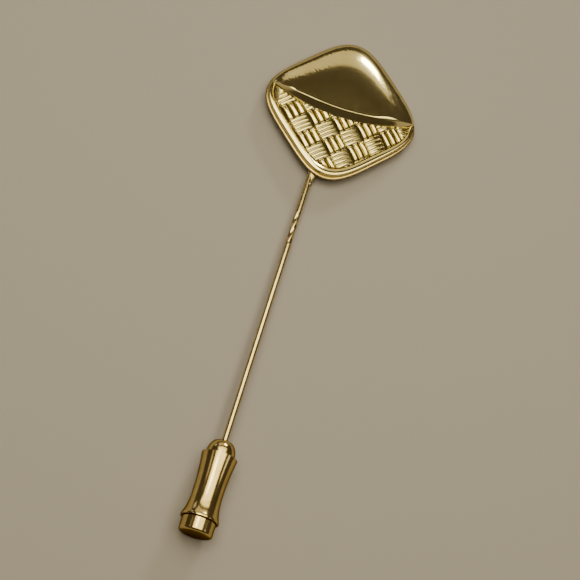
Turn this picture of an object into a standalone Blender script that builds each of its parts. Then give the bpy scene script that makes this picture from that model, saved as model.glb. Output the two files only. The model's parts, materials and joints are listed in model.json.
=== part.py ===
"""A gold-plated stick pin: a rounded-square head worn corner up, a long straight stem behind it, and a
waisted barrel clutch that grips the stem's point with three sprung balls.

Everything is first built in the pin's own frame: X across the head, +Y along the stem towards the head,
+Z out of the head's face, with the stem's axis on the line X = Z = 0. One empty then lays the pin on its
back, as it rests on a table, on the clutch's base rim and the stem's upper end.
"""

import math

import bmesh
import bpy
from mathutils import Matrix, Vector

MM = 0.001

# Head: a squircle |u|^n + |v|^n = a^n, where u and v run square to its sides
HEAD_HALF_SIDE = 8.42 * MM
HEAD_SQUARENESS = 3.8
HEAD_TURN = math.radians(3.0)
HEAD_SHIFT = 1.15 * MM
HEAD_COLUMNS = 24
STANDOFF = 0.55 * MM
PLATE_THICKNESS = 0.35 * MM
FACE_INSET = 0.22 * MM
SOLDERED_GAP = 0.03 * MM
WALL_HEIGHT = 0.50 * MM
PILLOW_RISE = 1.85 * MM
PILLOW_RADIUS = 9.0 * MM
PILLOW_SHOULDER = 3
PILLOW_ROUNDING = 0.6
PILLOW_ROWS = (0.0, 0.03, 0.08, 0.18, 0.34, 0.6, 1.0)
BORDER_WIDTH = 0.85 * MM
BORDER_TOP = 0.74 * MM
BORDER_FOOT = 0.30 * MM
BORDER_SHOULDER = 0.6
FIELD_DEPTH = 0.36 * MM
FIELD_BULGE = 0.15 * MM
CREASE_END = 0.75 * MM
CREASE_SAG = 1.90 * MM
BAND_END = 0.35 * MM
BAND_SAG = 2.15 * MM
LIP_RISE = 0.85 * MM
HOLLOW_SHARE = 0.93
HOLLOW_RIM = 0.12 * MM
HOLLOW_RISE = 0.50 * MM
HOLLOW_ROWS = (0.75, 0.4)

# Stem, measured along Y from below the head's centre
STEM_RADIUS = 0.40 * MM
STEM_TOP = 1.90 * MM
STEM_TIP = -54.30 * MM
POINT_LENGTH = 1.50 * MM
POINT_RADIUS = 0.05 * MM
POINT_SHOULDER = 0.6
POINT_SHOULDER_RADIUS = 0.22 * MM
TWIST_TOP = -14.90 * MM
TWIST_LENGTH = 5.00 * MM
TWIST_TURNS = 2.5
TWIST_DEPTH = 0.06
TWIST_FLATS = 4
TWIST_FADE = 8
TWIST_STEPS_PER_TURN = 12
STEM_SIDES = 16

# Solder that holds the stem to the back plate
SOLDER_TOP = 2.60 * MM
SOLDER_END = -11.10 * MM
SOLDER_HALF_WIDTH = 1.20 * MM
SOLDER_END_WIDTH = 0.25 * MM
SOLDER_DEPTH = 0.62 * MM
SOLDER_LEAST_DEPTH = 0.55
SOLDER_SKEW = 0.8
SOLDER_FULLNESS = 0.6
SOLDER_SECTIONS = 14
SOLDER_SIDES = 8
GROOVE_LENGTH = 40 * MM

# Clutch, measured from the sleeve's mouth away from the head
MOUTH = -48.40 * MM
SLEEVE_LENGTH = 7.90 * MM
SLEEVE_WALL = 0.20 * MM
MOUTH_RADIUS = 2.17 * MM
WAIST_RADIUS = 1.80 * MM
WAIST_AT = 4.30 * MM
BASE_RADIUS = 2.30 * MM
BASE_HOLE_RADIUS = 0.74 * MM
SLEEVE_ROWS = (0.1, 0.24, 0.39, 0.54, 0.67, 0.77, 0.86, 0.94)
NOSE_RADIUS = 1.71 * MM
NOSE_HEIGHT = 1.90 * MM
NOSE_STRAIGHT = 0.35 * MM
NOSE_LAND = 0.90 * MM
NOSE_STEPS = 6
BORE_LEAD = 0.20 * MM
CORE_STEP = 0.20 * MM
CORE_RADIUS = 1.54 * MM
CORE_LENGTH = 4.60 * MM
STEM_CLEARANCE = 0.05 * MM
CONE_LEAD = 0.15 * MM
CONE_START = 0.75 * MM
CONE_END = 3.40 * MM
CONE_SMALL_RADIUS = 0.95 * MM
CONE_BIG_RADIUS = 1.30 * MM
BALL_RADIUS = 0.35 * MM
BALL_GAP = 0.02 * MM
BALL_COUNT = 3
BALL_SEGMENTS = 12
BALL_RINGS = 8
WINDOW_SIDES = 16
WINDOW_LENGTH = 1.44 * MM
CAGE_START = 1.15 * MM
CAGE_RADIUS = 0.90 * MM
FLANGE_START = 3.85 * MM
FLANGE_END = 4.25 * MM
FLANGE_RADIUS = 1.20 * MM
ROD_RADIUS = 0.62 * MM
ROD_END = 9.00 * MM
SPRING_START = 4.42 * MM
SPRING_END = 6.80 * MM
SPRING_RADIUS = 0.96 * MM
SPRING_WIRE_RADIUS = 0.11 * MM
SPRING_TURNS = 5
SPRING_END_TURNS = 2
SPRING_CLOSED_PITCH = 0.242 * MM
SPRING_STEPS_PER_TURN = 16
BUSH_START = 6.95 * MM
BUSH_RADIUS = 1.70 * MM
BUSH_END = 7.65 * MM
KNOB_START = 7.95 * MM
KNOB_END = 9.65 * MM
KNOB_RADIUS = 2.02 * MM
KNOB_EDGE = 0.30 * MM
KNOB_EDGE_STEPS = 4
SMALL_EDGE = 0.06 * MM
LATHE_STEPS = 40
INNER_STEPS = 28
RUNNING_GAP = 0.04 * MM

WELD = 0.001 * MM
SHARP_ANGLE = math.radians(35)


def clear_scene():
    for old in list(bpy.data.objects):
        bpy.data.objects.remove(old)


def metal(name, colour, roughness):
    """A plain metal in one colour, given in linear values."""
    made = bpy.data.materials.new(name)
    made.use_nodes = True
    shader = made.node_tree.nodes["Principled BSDF"]
    shader.inputs["Base Color"].default_value = (*colour, 1.0)
    shader.inputs["Metallic"].default_value = 1.0
    shader.inputs["Roughness"].default_value = roughness
    return made


def empty(name, parent=None, location=(0, 0, 0), rotation=(0, 0, 0)):
    made = bpy.data.objects.new(name, None)
    bpy.context.scene.collection.objects.link(made)
    made.parent = parent
    made.location = location
    made.rotation_euler = rotation
    return made


def add_part(name, bm, material, parent):
    """Turns a bmesh into a named object, welded and with its faces pointing out."""
    bmesh.ops.remove_doubles(bm, verts=bm.verts, dist=WELD)
    bmesh.ops.recalc_face_normals(bm, faces=bm.faces)
    mesh = bpy.data.meshes.new(name)
    bm.to_mesh(mesh)
    bm.free()
    mesh.materials.append(material)
    mesh.shade_smooth()
    mesh.set_sharp_from_angle(angle=SHARP_ANGLE)
    made = bpy.data.objects.new(name, mesh)
    bpy.context.scene.collection.objects.link(made)
    made.parent = parent
    return made


def turned(profile, steps, closed):
    """Spins (radius, height) points round Z. A closed profile makes a ring, an open one meets the axis."""
    bm = bmesh.new()
    verts = [bm.verts.new((radius, 0, height)) for radius, height in profile]
    ends = list(zip(verts, verts[1:]))
    if closed:
        ends.append((verts[-1], verts[0]))
    edges = [bm.edges.new(pair) for pair in ends]
    bmesh.ops.spin(
        bm, geom=verts + edges, cent=(0, 0, 0), axis=(0, 0, 1), angle=math.tau, steps=steps, use_merge=True
    )
    return bm


def cut(target, cutter):
    """Cuts one object with another, which stays hidden."""
    cutter.hide_render = True
    cutter.display_type = "WIRE"
    boolean = target.modifiers.new("cut_" + cutter.name, "BOOLEAN")
    boolean.operation = "DIFFERENCE"
    boolean.solver = "EXACT"
    boolean.object = cutter


# The head's outline, in the head's own frame: corners on X and Y

def squircle_radius(angle, half_side):
    u, v = math.cos(angle - math.pi / 4), math.sin(angle - math.pi / 4)
    return half_side / (abs(u) ** HEAD_SQUARENESS + abs(v) ** HEAD_SQUARENESS) ** (1 / HEAD_SQUARENESS)


def squircle_point(angle, half_side):
    radius = squircle_radius(angle, half_side)
    return Vector((radius * math.cos(angle), radius * math.sin(angle)))


def edge_share(point, half_side):
    """0 at the head's centre and 1 on its outline."""
    return point.length / squircle_radius(math.atan2(point.y, point.x), half_side)


def pillow_height(point, half_side):
    """The contour lines are circles in the middle and follow the outline at the rim."""
    share = min(1.0, edge_share(point, half_side))
    share += (point.length / PILLOW_RADIUS - share) * (1 - share ** 2)
    return WALL_HEIGHT + PILLOW_RISE * (1 - share ** PILLOW_SHOULDER) ** PILLOW_ROUNDING


def bowed(left, right, share, sag):
    """A point on a bow that sags between two ends, where the points stand closer together."""
    point = left.lerp(right, 0.5 - 0.5 * math.cos(math.pi * share))
    point.y -= sag * math.sin(math.pi * share) ** 2
    return point


def build_back_plate(material, parent):
    bm = bmesh.new()
    count = 2 * HEAD_COLUMNS
    ring = [bm.verts.new((*squircle_point(math.tau * i / count, HEAD_HALF_SIDE), 0)) for i in range(count)]
    sheet = bm.faces.new(ring)
    lifted = bmesh.ops.extrude_face_region(bm, geom=[sheet])["geom"]
    top = [item for item in lifted if isinstance(item, bmesh.types.BMVert)]
    bmesh.ops.translate(bm, verts=top, vec=(0, 0, PLATE_THICKNESS))
    return add_part("back_plate", bm, material, parent)


def face_rows(half_side):
    """The face as columns of points from the top outline down to the bottom one, left corner to right corner.

    Each column crosses the pillow, the crease, the smooth band, the sunk field and the raised border. In the
    two corner columns the field closes to a point."""
    inner = half_side - BORDER_WIDTH
    crease_angle = math.asin(CREASE_END / half_side)
    band_angle = math.asin(BAND_END / inner)
    crease_ends = [squircle_point(angle, half_side) for angle in (math.pi - crease_angle, crease_angle)]
    band_ends = [squircle_point(angle, inner) for angle in (math.pi - band_angle, band_angle)]
    floor_low = BORDER_TOP - FIELD_DEPTH
    columns = []
    for i in range(HEAD_COLUMNS + 1):
        share = i / HEAD_COLUMNS
        at_corner = i in (0, HEAD_COLUMNS)
        lens = math.sin(math.pi * share) ** 2
        top = squircle_point(math.pi - crease_angle - share * (math.pi - 2 * crease_angle), half_side)
        bottom = squircle_point(math.pi - crease_angle + share * (math.pi + 2 * crease_angle), half_side)
        crease = bowed(*crease_ends, share, CREASE_SAG)
        field_top = bowed(*band_ends, share, BAND_SAG)
        field_low = squircle_point(math.pi - band_angle + share * (math.pi + 2 * band_angle), inner)
        shoulder = field_low.lerp(bottom, 0.0 if at_corner else BORDER_SHOULDER)
        high = BORDER_TOP + LIP_RISE * lens
        floor_top = high - FIELD_DEPTH
        foot = WALL_HEIGHT + (BORDER_FOOT - WALL_HEIGHT) * lens
        rows = []
        for step in PILLOW_ROWS:
            point = top.lerp(crease, step)
            rows.append((*point, pillow_height(point, half_side)))
        rows.append((*field_top, high))
        rows.append((*field_top, floor_top))
        rows.append((*field_top.lerp(field_low, 0.5), 0.5 * (floor_top + floor_low) + FIELD_BULGE * lens))
        rows.append((*field_low, floor_low))
        rows.append((*field_low, BORDER_TOP))
        rows.append((*shoulder, BORDER_TOP))
        rows.append((*bottom, foot))
        columns.append(rows)
    return columns


def build_face(material, parent):
    """A hollow stamping, open at the back, that the back plate closes."""
    bm = bmesh.new()
    half_side = HEAD_HALF_SIDE - FACE_INSET
    columns = [[bm.verts.new(point) for point in rows] for rows in face_rows(half_side)]
    for left, right in zip(columns, columns[1:]):
        for j in range(len(left) - 1):
            bm.faces.new((left[j], left[j + 1], right[j + 1], right[j]))
    rim = [rows[0] for rows in columns] + [rows[-1] for rows in reversed(columns[1:-1])]
    outline = [vert.co.copy() for vert in rim]
    rings = [rim]
    levels = [(1.0, 0.0), (HOLLOW_SHARE, 0.0), (HOLLOW_SHARE, HOLLOW_RIM)]
    levels += [(share * HOLLOW_SHARE, HOLLOW_RIM + HOLLOW_RISE * (1 - share ** 2)) for share in HOLLOW_ROWS]
    for share, height in levels:
        rings.append([bm.verts.new((co.x * share, co.y * share, height)) for co in outline])
    for lower, upper in zip(rings, rings[1:]):
        for i in range(len(outline)):
            k = (i + 1) % len(outline)
            bm.faces.new((lower[i], lower[k], upper[k], upper[i]))
    bm.faces.new(rings[-1])
    bmesh.ops.remove_doubles(bm, verts=bm.verts, dist=WELD)
    bmesh.ops.dissolve_degenerate(bm, edges=bm.edges, dist=WELD)
    return add_part("head_face", bm, material, parent)


def build_stem(material, parent):
    """One wire, with a short twisted stretch that keeps it from creeping in the cloth, and a point."""
    def ring(along, radius, turn=0.0, depth=0.0):
        points = []
        for i in range(STEM_SIDES):
            angle = math.tau * i / STEM_SIDES
            reach = radius * (1 + depth * (math.cos(TWIST_FLATS * (angle - turn)) - 1))
            points.append(bm.verts.new((reach * math.cos(angle), along, reach * math.sin(angle))))
        return points

    bm = bmesh.new()
    rings = [ring(STEM_TOP, STEM_RADIUS - SMALL_EDGE), ring(STEM_TOP - SMALL_EDGE, STEM_RADIUS)]
    rings.append(ring(TWIST_TOP, STEM_RADIUS))
    steps = int(TWIST_TURNS * TWIST_STEPS_PER_TURN)
    for i in range(1, steps):
        share = i / steps
        depth = TWIST_DEPTH * min(1.0, TWIST_FADE * share, TWIST_FADE * (1 - share))
        turn = math.tau * TWIST_TURNS * share / TWIST_FLATS
        rings.append(ring(TWIST_TOP - TWIST_LENGTH * share, STEM_RADIUS, turn, depth))
    rings.append(ring(TWIST_TOP - TWIST_LENGTH, STEM_RADIUS))
    rings.append(ring(STEM_TIP + POINT_LENGTH, STEM_RADIUS))
    rings.append(ring(STEM_TIP + (1 - POINT_SHOULDER) * POINT_LENGTH, POINT_SHOULDER_RADIUS))
    rings.append(ring(STEM_TIP, POINT_RADIUS))
    for near, far in zip(rings, rings[1:]):
        for i in range(STEM_SIDES):
            k = (i + 1) % STEM_SIDES
            bm.faces.new((near[i], near[k], far[k], far[i]))
    bm.faces.new(rings[0])
    bm.faces.new(rings[-1])
    return add_part("stem", bm, material, parent)


def build_solder(material, cutter_material, parent):
    """A low drop of solder, widest under the head, that runs out along the stem below the lower corner."""
    bm = bmesh.new()
    rings = []
    for i in range(1, SOLDER_SECTIONS):
        share = i / SOLDER_SECTIONS
        along = SOLDER_TOP + (SOLDER_END - SOLDER_TOP) * share
        swell = math.sin(math.pi * share ** SOLDER_SKEW) ** SOLDER_FULLNESS
        width = SOLDER_END_WIDTH + (SOLDER_HALF_WIDTH - SOLDER_END_WIDTH) * swell
        depth = SOLDER_DEPTH * (SOLDER_LEAST_DEPTH + (1 - SOLDER_LEAST_DEPTH) * swell)
        ring = []
        for j in range(SOLDER_SIDES + 1):
            angle = math.pi * j / SOLDER_SIDES
            place = (width * math.cos(angle), along, STANDOFF - SOLDERED_GAP - depth * math.sin(angle))
            ring.append(bm.verts.new(place))
        rings.append(ring)
    for near, far in zip(rings, rings[1:]):
        for j in range(SOLDER_SIDES + 1):
            k = (j + 1) % (SOLDER_SIDES + 1)
            bm.faces.new((near[j], near[k], far[k], far[j]))
    bm.faces.new(rings[0])
    bm.faces.new(rings[-1])
    solder = add_part("solder_joint", bm, material, parent)
    groove = bmesh.new()
    bmesh.ops.create_cone(
        groove, cap_ends=True, segments=STEM_SIDES, radius1=STEM_RADIUS + SOLDERED_GAP,
        radius2=STEM_RADIUS + SOLDERED_GAP, depth=GROOVE_LENGTH, matrix=Matrix.Rotation(math.pi / 2, 4, "X"),
    )
    cut(solder, add_part("stem_groove", groove, cutter_material, parent))
    return solder


# The clutch's turned pieces: heights run along its axis, from the sleeve's mouth away from the head

def sleeve_radius(height):
    if height < WAIST_AT:
        return WAIST_RADIUS + (MOUTH_RADIUS - WAIST_RADIUS) * ((WAIST_AT - height) / WAIST_AT) ** 2
    share = (height - WAIST_AT) / (SLEEVE_LENGTH - WAIST_AT)
    return WAIST_RADIUS + (BASE_RADIUS - WAIST_RADIUS) * share ** 3


def build_sleeve(material, parent):
    """A drawn cup, waisted in the middle, with a hole in its base for the plunger's rod."""
    heights = [SMALL_EDGE] + [row * SLEEVE_LENGTH for row in SLEEVE_ROWS]
    outer = [(sleeve_radius(0) - SMALL_EDGE, 0.0)]
    outer += [(sleeve_radius(height), height) for height in heights]
    outer += [(BASE_RADIUS, SLEEVE_LENGTH - SMALL_EDGE), (BASE_RADIUS - SMALL_EDGE, SLEEVE_LENGTH)]
    outer.append((BASE_HOLE_RADIUS, SLEEVE_LENGTH))
    inner = [(BASE_HOLE_RADIUS, SLEEVE_LENGTH - SLEEVE_WALL)]
    inner.append((sleeve_radius(SLEEVE_LENGTH - SLEEVE_WALL) - SLEEVE_WALL, SLEEVE_LENGTH - SLEEVE_WALL))
    inner += [(sleeve_radius(height) - SLEEVE_WALL, height) for height in reversed(heights)]
    inner.append((sleeve_radius(0) - SLEEVE_WALL, 0.0))
    return add_part("clutch_sleeve", turned(outer + inner, LATHE_STEPS, closed=True), material, parent)


def build_core(material, parent):
    """The domed nose, with the taper inside it that wedges the balls against the stem."""
    bore = STEM_RADIUS + STEM_CLEARANCE
    mouth = bore + BORE_LEAD
    dome_rise = NOSE_HEIGHT - NOSE_STRAIGHT
    dome = []
    for i in range(NOSE_STEPS + 1):
        angle = math.pi / 2 * (1 - i / NOSE_STEPS)
        radius = mouth + (NOSE_RADIUS - mouth) * math.cos(angle)
        dome.append((radius, -NOSE_STRAIGHT - dome_rise * math.sin(angle)))
    profile = dome + [
        (NOSE_RADIUS, NOSE_LAND),
        (CORE_RADIUS, NOSE_LAND + CORE_STEP),
        (CORE_RADIUS, CORE_LENGTH),
        (CONE_BIG_RADIUS, CORE_LENGTH),
        (CONE_BIG_RADIUS, CONE_END),
        (CONE_SMALL_RADIUS, CONE_START),
        (bore, CONE_START - CONE_LEAD),
        (bore, BORE_LEAD - NOSE_HEIGHT),
    ]
    return add_part("clutch_nose", turned(profile, LATHE_STEPS, closed=True), material, parent)


def ball_height():
    """Where a ball touches the taper when it also touches the stem."""
    slope = (CONE_BIG_RADIUS - CONE_SMALL_RADIUS) / (CONE_END - CONE_START)
    centre = STEM_RADIUS + BALL_GAP + BALL_RADIUS
    wall = centre + (BALL_RADIUS + BALL_GAP) * math.hypot(1, slope)
    return centre, CONE_START + (wall - CONE_SMALL_RADIUS) / slope


def ball_angle(index):
    return math.tau * index / BALL_COUNT + math.pi / 2


def build_cage(material, parent):
    """The plunger: a tube with a window for each ball, a flange for the spring and a rod out to the knob."""
    bore = STEM_RADIUS + STEM_CLEARANCE
    profile = [
        (bore, CAGE_START),
        (CAGE_RADIUS, CAGE_START),
        (CAGE_RADIUS, FLANGE_START),
        (FLANGE_RADIUS, FLANGE_START),
        (FLANGE_RADIUS, FLANGE_END),
        (ROD_RADIUS, FLANGE_END),
        (ROD_RADIUS, ROD_END),
        (bore, ROD_END),
    ]
    cage = add_part("ball_cage", turned(profile, INNER_STEPS, closed=True), material, parent)
    for i in range(BALL_COUNT):
        window = bmesh.new()
        turn = Matrix.Rotation(ball_angle(i), 4, "Z") @ Matrix.Translation((CAGE_RADIUS, 0, ball_height()[1]))
        bmesh.ops.create_cone(
            window, cap_ends=True, segments=WINDOW_SIDES, radius1=BALL_RADIUS + RUNNING_GAP,
            radius2=BALL_RADIUS + RUNNING_GAP, depth=WINDOW_LENGTH,
            matrix=turn @ Matrix.Rotation(math.pi / 2, 4, "Y"),
        )
        cut(cage, add_part(f"ball_window_{i + 1}", window, material, parent))
    return cage


def build_balls(material, parent):
    centre, height = ball_height()
    balls = []
    for i in range(BALL_COUNT):
        bm = bmesh.new()
        bmesh.ops.create_uvsphere(bm, u_segments=BALL_SEGMENTS, v_segments=BALL_RINGS, radius=BALL_RADIUS)
        ball = add_part(f"lock_ball_{i + 1}", bm, material, parent)
        ball.location = (centre * math.cos(ball_angle(i)), centre * math.sin(ball_angle(i)), height)
        balls.append(ball)
    return balls


def build_spring(material, parent):
    """A compression spring with its end turns wound close."""
    curve = bpy.data.curves.new("release_spring", "CURVE")
    curve.dimensions = "3D"
    curve.bevel_depth = SPRING_WIRE_RADIUS
    curve.bevel_resolution = 1
    curve.use_fill_caps = True
    count = SPRING_TURNS * SPRING_STEPS_PER_TURN
    low = SPRING_START + SPRING_WIRE_RADIUS
    high = SPRING_END - SPRING_WIRE_RADIUS
    open_turns = SPRING_TURNS - SPRING_END_TURNS
    open_pitch = (high - low - SPRING_END_TURNS * SPRING_CLOSED_PITCH) / open_turns
    spline = curve.splines.new("POLY")
    spline.points.add(count)
    for i in range(count + 1):
        turns = i / SPRING_STEPS_PER_TURN
        middle = min(max(turns - 1, 0), open_turns)
        height = low + SPRING_CLOSED_PITCH * (turns - middle) + open_pitch * middle
        angle = math.tau * turns
        place = (SPRING_RADIUS * math.cos(angle), SPRING_RADIUS * math.sin(angle), height, 1)
        spline.points[i].co = place
    curve.materials.append(material)
    made = bpy.data.objects.new("release_spring", curve)
    bpy.context.scene.collection.objects.link(made)
    made.parent = parent
    return made


def build_bush(material, parent):
    bore = ROD_RADIUS + RUNNING_GAP
    profile = [(bore, BUSH_START), (BUSH_RADIUS, BUSH_START), (BUSH_RADIUS, BUSH_END), (bore, BUSH_END)]
    return add_part("rear_bush", turned(profile, INNER_STEPS, closed=True), material, parent)


def build_knob(material, parent):
    """The end knob, pressed on the plunger's rod. Pulling it frees the balls."""
    socket = ROD_RADIUS + SOLDERED_GAP
    profile = [(0.0, ROD_END + RUNNING_GAP), (socket, ROD_END + RUNNING_GAP), (socket, KNOB_START)]
    profile += [(KNOB_RADIUS - SMALL_EDGE, KNOB_START), (KNOB_RADIUS, KNOB_START + SMALL_EDGE)]
    for i in range(KNOB_EDGE_STEPS + 1):
        angle = math.pi / 2 * i / KNOB_EDGE_STEPS
        radius = KNOB_RADIUS - KNOB_EDGE * (1 - math.cos(angle))
        profile.append((radius, KNOB_END - KNOB_EDGE * (1 - math.sin(angle))))
    profile.append((0.0, KNOB_END))
    return add_part("release_knob", turned(profile, LATHE_STEPS, closed=False), material, parent)


def lay_down(pin):
    """Tips the pin until the clutch's base rim and the stem's upper end touch the table, and centres it."""
    base = MOUTH - SLEEVE_LENGTH + SMALL_EDGE
    pin.rotation_euler.x = -math.atan2(BASE_RADIUS - STEM_RADIUS, STEM_TOP - SMALL_EDGE - base)
    bpy.context.view_layer.update()
    shown = [made for made in pin.children_recursive if made.type == "MESH" and not made.hide_render]
    places = [made.matrix_world @ vert.co for made in shown for vert in made.data.vertices]
    lows = [min(place[k] for place in places) for k in range(3)]
    highs = [max(place[k] for place in places) for k in range(3)]
    pin.location = (-(lows[0] + highs[0]) / 2, -(lows[1] + highs[1]) / 2, -lows[2])


def main():
    clear_scene()
    pale_gold = metal("pale_gold_plate", (0.78, 0.64, 0.33), 0.18)
    stem_gold = metal("stem_gold_plate", (0.72, 0.58, 0.30), 0.22)
    brass = metal("polished_brass", (0.76, 0.56, 0.24), 0.16)
    solder = metal("soft_solder", (0.58, 0.52, 0.36), 0.35)
    steel = metal("bright_steel", (0.55, 0.55, 0.56), 0.20)

    pin = empty("pin")
    head = empty("head", pin, (HEAD_SHIFT, 0, STANDOFF), (0, 0, HEAD_TURN))
    face = empty("face", head, (0, 0, PLATE_THICKNESS + SOLDERED_GAP))
    clutch = empty("clutch_axis", pin, (0, MOUTH, 0), (math.pi / 2, 0, 0))

    build_back_plate(pale_gold, head)
    build_face(pale_gold, face)
    build_stem(stem_gold, pin)
    build_solder(solder, solder, pin)
    build_sleeve(brass, clutch)
    build_core(brass, clutch)
    build_cage(brass, clutch)
    build_balls(steel, clutch)
    build_spring(steel, clutch)
    build_bush(brass, clutch)
    build_knob(brass, clutch)
    lay_down(pin)
    bpy.context.view_layer.update()


main()
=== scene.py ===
# %% [markdown]
# # A gold-plated stick pin
# A stick pin is a small ornament on a long straight wire. The wire goes through a tie or a lapel,
# and a clutch slides over its point. This pin's head is a stamped, gold-plated square with rounded
# corners, worn corner up: a polished pillow above, a basket-weave field below. It lies on its back
# on a pale studio table.
#
# The engineering model already holds every piece at its true size and place. These cells load it,
# then make the fine surfaces and the metals around it. First comes the load itself.

# %% Load the engineering model
import json
import math

import bmesh
import bpy
from mathutils import Matrix, Quaternion, Vector, noise


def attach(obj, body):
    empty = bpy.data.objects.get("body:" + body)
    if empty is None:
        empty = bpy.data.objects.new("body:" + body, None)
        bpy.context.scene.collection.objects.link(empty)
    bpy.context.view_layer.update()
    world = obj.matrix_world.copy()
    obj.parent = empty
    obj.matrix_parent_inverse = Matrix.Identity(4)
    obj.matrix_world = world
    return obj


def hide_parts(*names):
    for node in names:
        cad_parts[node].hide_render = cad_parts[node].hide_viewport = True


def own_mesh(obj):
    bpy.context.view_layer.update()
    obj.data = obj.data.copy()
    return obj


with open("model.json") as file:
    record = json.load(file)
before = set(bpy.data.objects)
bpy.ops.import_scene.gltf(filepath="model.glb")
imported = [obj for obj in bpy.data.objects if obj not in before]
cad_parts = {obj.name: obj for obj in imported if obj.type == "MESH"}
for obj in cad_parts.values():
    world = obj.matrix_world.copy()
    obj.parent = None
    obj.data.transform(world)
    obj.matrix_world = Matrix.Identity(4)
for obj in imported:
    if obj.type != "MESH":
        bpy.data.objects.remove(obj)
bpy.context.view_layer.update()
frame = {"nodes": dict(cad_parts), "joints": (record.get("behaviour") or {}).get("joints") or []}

MM = 0.001

# %% [markdown]
# ## Working spaces
# A maker measures each piece from its own middle, not from the table. The pin is tipped by under
# two degrees, so we could add that tilt to every point by hand. It is easier to give each piece a
# matrix, its working space, and to model in plain upright coordinates inside it. The clutch's
# joints say where its mouth is and which way the stem runs, so the spaces follow the engineering
# model by themselves.

# %% The pin's, the head's and the clutch's own spaces
MOUTH_BELOW_HEAD = 48.40 * MM
HEAD_SHIFT = 1.15 * MM
HEAD_TURN = math.radians(3.0)
STANDOFF = 0.55 * MM
FACE_LIFT = 0.38 * MM

joints = {joint["name"]: joint for joint in frame["joints"]}
up_stem = -Vector(joints["clutch_slide"]["axis"]).normalized()
mouth = Vector(joints["barrel_spin"]["pos_m"])
across = Vector((1, 0, 0))
tilt = Matrix((across, up_stem, across.cross(up_stem))).transposed().to_4x4()

pin_space = Matrix.Translation(mouth + up_stem * MOUTH_BELOW_HEAD) @ tilt
head_place = Matrix.Translation((HEAD_SHIFT, 0, STANDOFF))
head_space = pin_space @ head_place @ Matrix.Rotation(HEAD_TURN, 4, "Z")
face_space = head_space @ Matrix.Translation((0, 0, FACE_LIFT))
clutch_space = Matrix.Translation(mouth) @ tilt @ Matrix.Rotation(math.pi / 2, 4, "X")
print("the stem slopes by", round(math.degrees(math.asin(-up_stem.z)), 2), "degrees")

# %% [markdown]
# ## Colours and shader nodes
# Hex colours are sRGB, which is how a screen or a paint chart gives them, but a shader works in
# linear light. One function turns the first into the second. Each finish is a small web of nodes,
# so one more function adds a node, sets it up and links its inputs. A finish is then read from the
# top down, like a recipe.

# %% Two helpers for every finish
def linear(hex_colour):
    """An sRGB hex colour as linear red, green, blue and alpha."""
    channels = [int(hex_colour[i:i + 2], 16) / 255 for i in (1, 3, 5)]
    return (*((c / 12.92 if c <= 0.04045 else ((c + 0.055) / 1.055) ** 2.4) for c in channels), 1.0)


def add_node(tree, kind, inputs=None, **settings):
    """Adds a shader node. An input takes a plain value, or another node's output to link it from."""
    made = tree.nodes.new("ShaderNode" + kind)
    for name, value in settings.items():
        setattr(made, name, value)
    for name, value in (inputs or {}).items():
        if isinstance(value, bpy.types.NodeSocket):
            tree.links.new(value, made.inputs[name])
        else:
            made.inputs[name].default_value = value
    return made


print("gold #E6C873 is", [round(c, 3) for c in linear("#E6C873")], "in linear light")

# %% [markdown]
# ## Metal, the common start
# Every piece here is metal, so every finish starts alike: a metal's colour is the colour of its
# reflections, its metallic value is 1, and its IOR stays at the default. What tells one finish from
# another is how it was made: polished, drawn through a die, turned on a lathe, or left as it froze.
# That shows as marks with a direction, and marks with a direction are noise stretched along them.
#
# So one function mixes two tones of a metal with soft blotches, for handling and thin plating, and
# adds marks of a given size along X, Y and Z. The marks change the roughness and, through a bump,
# the surface itself. The shader's specular tint makes the metal darker at a grazing angle than a
# clean mirror is. Where a value on the mesh is low, the function can also paint shade into the
# colour: a darker, duller metal in the hollows.

# %% The function that makes a worn metal
MIX_FACTOR, MIX_A, MIX_B, MIX_RESULT = 0, 6, 7, 2
PATCH_DETAIL, PATCH_GRAIN, PATCH_RANGE = 3.0, 0.6, (0.32, 0.68)
MARK_DETAIL, MARK_GRAIN, MARK_RANGE = 4.0, 0.7, (0.30, 0.75)
PAINTED_SHADE_RANGE = (0.02, 0.42)
PAINTED_SHADE_DULLING = 0.22
EDGE_TINT = "#A39C8E"


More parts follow.
